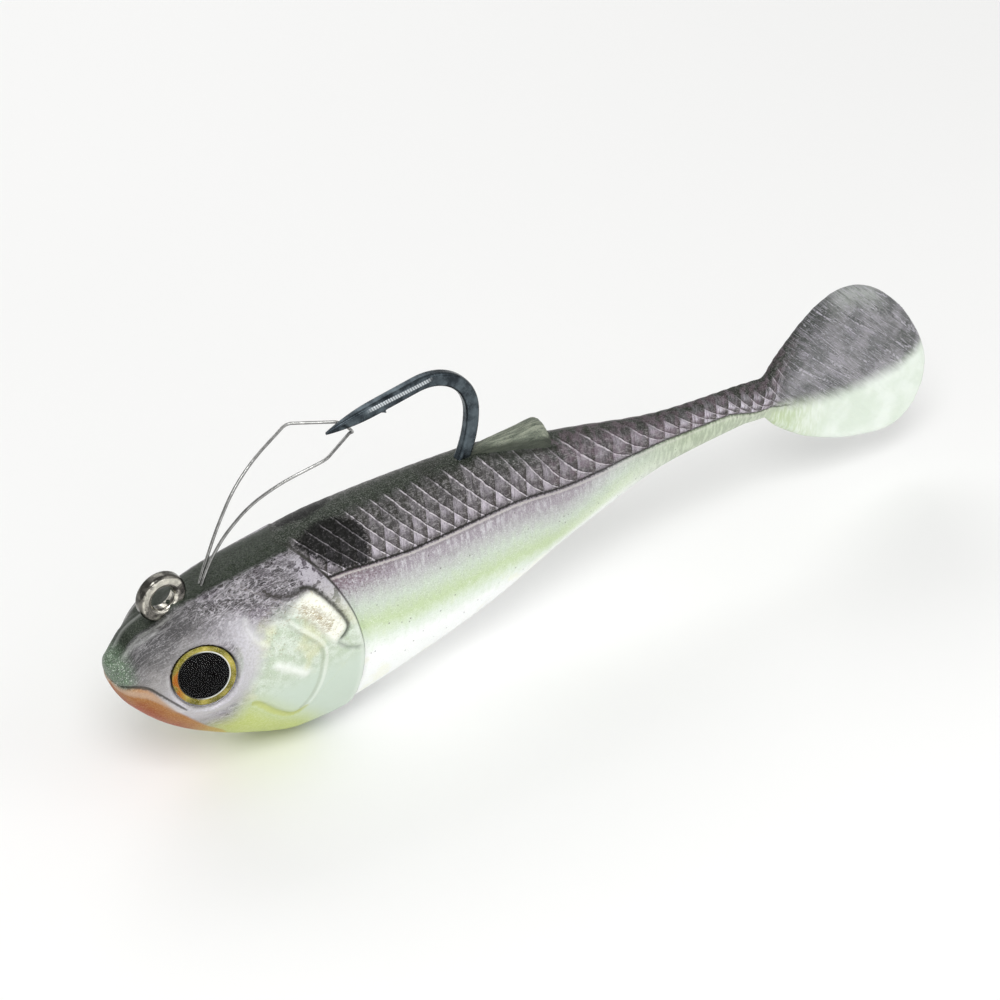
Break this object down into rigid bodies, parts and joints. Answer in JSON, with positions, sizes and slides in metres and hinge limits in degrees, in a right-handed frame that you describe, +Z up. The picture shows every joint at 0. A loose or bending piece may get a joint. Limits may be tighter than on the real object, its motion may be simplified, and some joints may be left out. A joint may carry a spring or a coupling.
{
  "type": "swimbait",
  "caption": "Soft paddle-tail swimbait with an internal lead head, upturned single hook, sprung wire weed guard and a line-tie ring on the head.",
  "frame": {"origin": "centre of the line-tie ring's hole, in the fish's middle plane", "axes": "+X from nose to tail, +Y to the fish's right side, along the ring's hole, +Z up"},
  "size_m": [0.1269, 0.018, 0.0437],
  "materials": {
    "hook_steel": "black nickel",
    "line_tie_steel": "bright plated",
    "lead": "dull cast",
    "guard_wire": "drawn wire",
    "eye_foil": "printed foil",
    "eye_clear": "clear, glossy",
    "back_plastic": "glossy soft plastic, dark back",
    "belly_plastic": "glossy soft plastic, pale belly"
  },
  "bodies": {
    "head": {"hook": "hook_steel", "line_tie": "line_tie_steel", "head_weight": "lead", "weed_guard_root": "guard_wire", "left_eye_disc": "eye_foil", "left_eye_dome": "eye_clear", "right_eye_disc": "eye_foil", "right_eye_dome": "eye_clear", "front_back": "back_plastic", "front_belly": "belly_plastic"},
    "guard": {"weed_guard": "guard_wire"},
    "rear": {"rear_back": "back_plastic", "rear_belly": "belly_plastic"},
    "stem": {"stem_back": "back_plastic", "stem_belly": "belly_plastic"},
    "tail": {"paddle_back": "back_plastic", "paddle_belly": "belly_plastic"}
  },
  "joints": [
    {"name": "weed_guard_press", "type": "hinge", "parent": "head", "child": "guard", "pos_m": [0.0058, 0, 0.0001], "axis": [0, 1, 0], "range_deg": [0, 22], "stiffness_Nm_per_rad": 0.03},
    {"name": "rear_body_flex", "type": "hinge", "parent": "head", "child": "rear", "pos_m": [0.062, 0, -0.008], "axis": [0, 0, 1], "range_deg": [-18, 18], "stiffness_Nm_per_rad": 0.02},
    {"name": "tail_stem_flex", "type": "hinge", "parent": "rear", "child": "stem", "pos_m": [0.077, 0, -0.0073], "axis": [0, 0, 1], "range_deg": [-24, 24], "stiffness_Nm_per_rad": 0.008},
    {"name": "paddle_flex", "type": "hinge", "parent": "stem", "child": "tail", "pos_m": [0.091, 0, -0.0073], "axis": [0, 0, 1], "range_deg": [-35, 35], "stiffness_Nm_per_rad": 0.004}
  ]
}
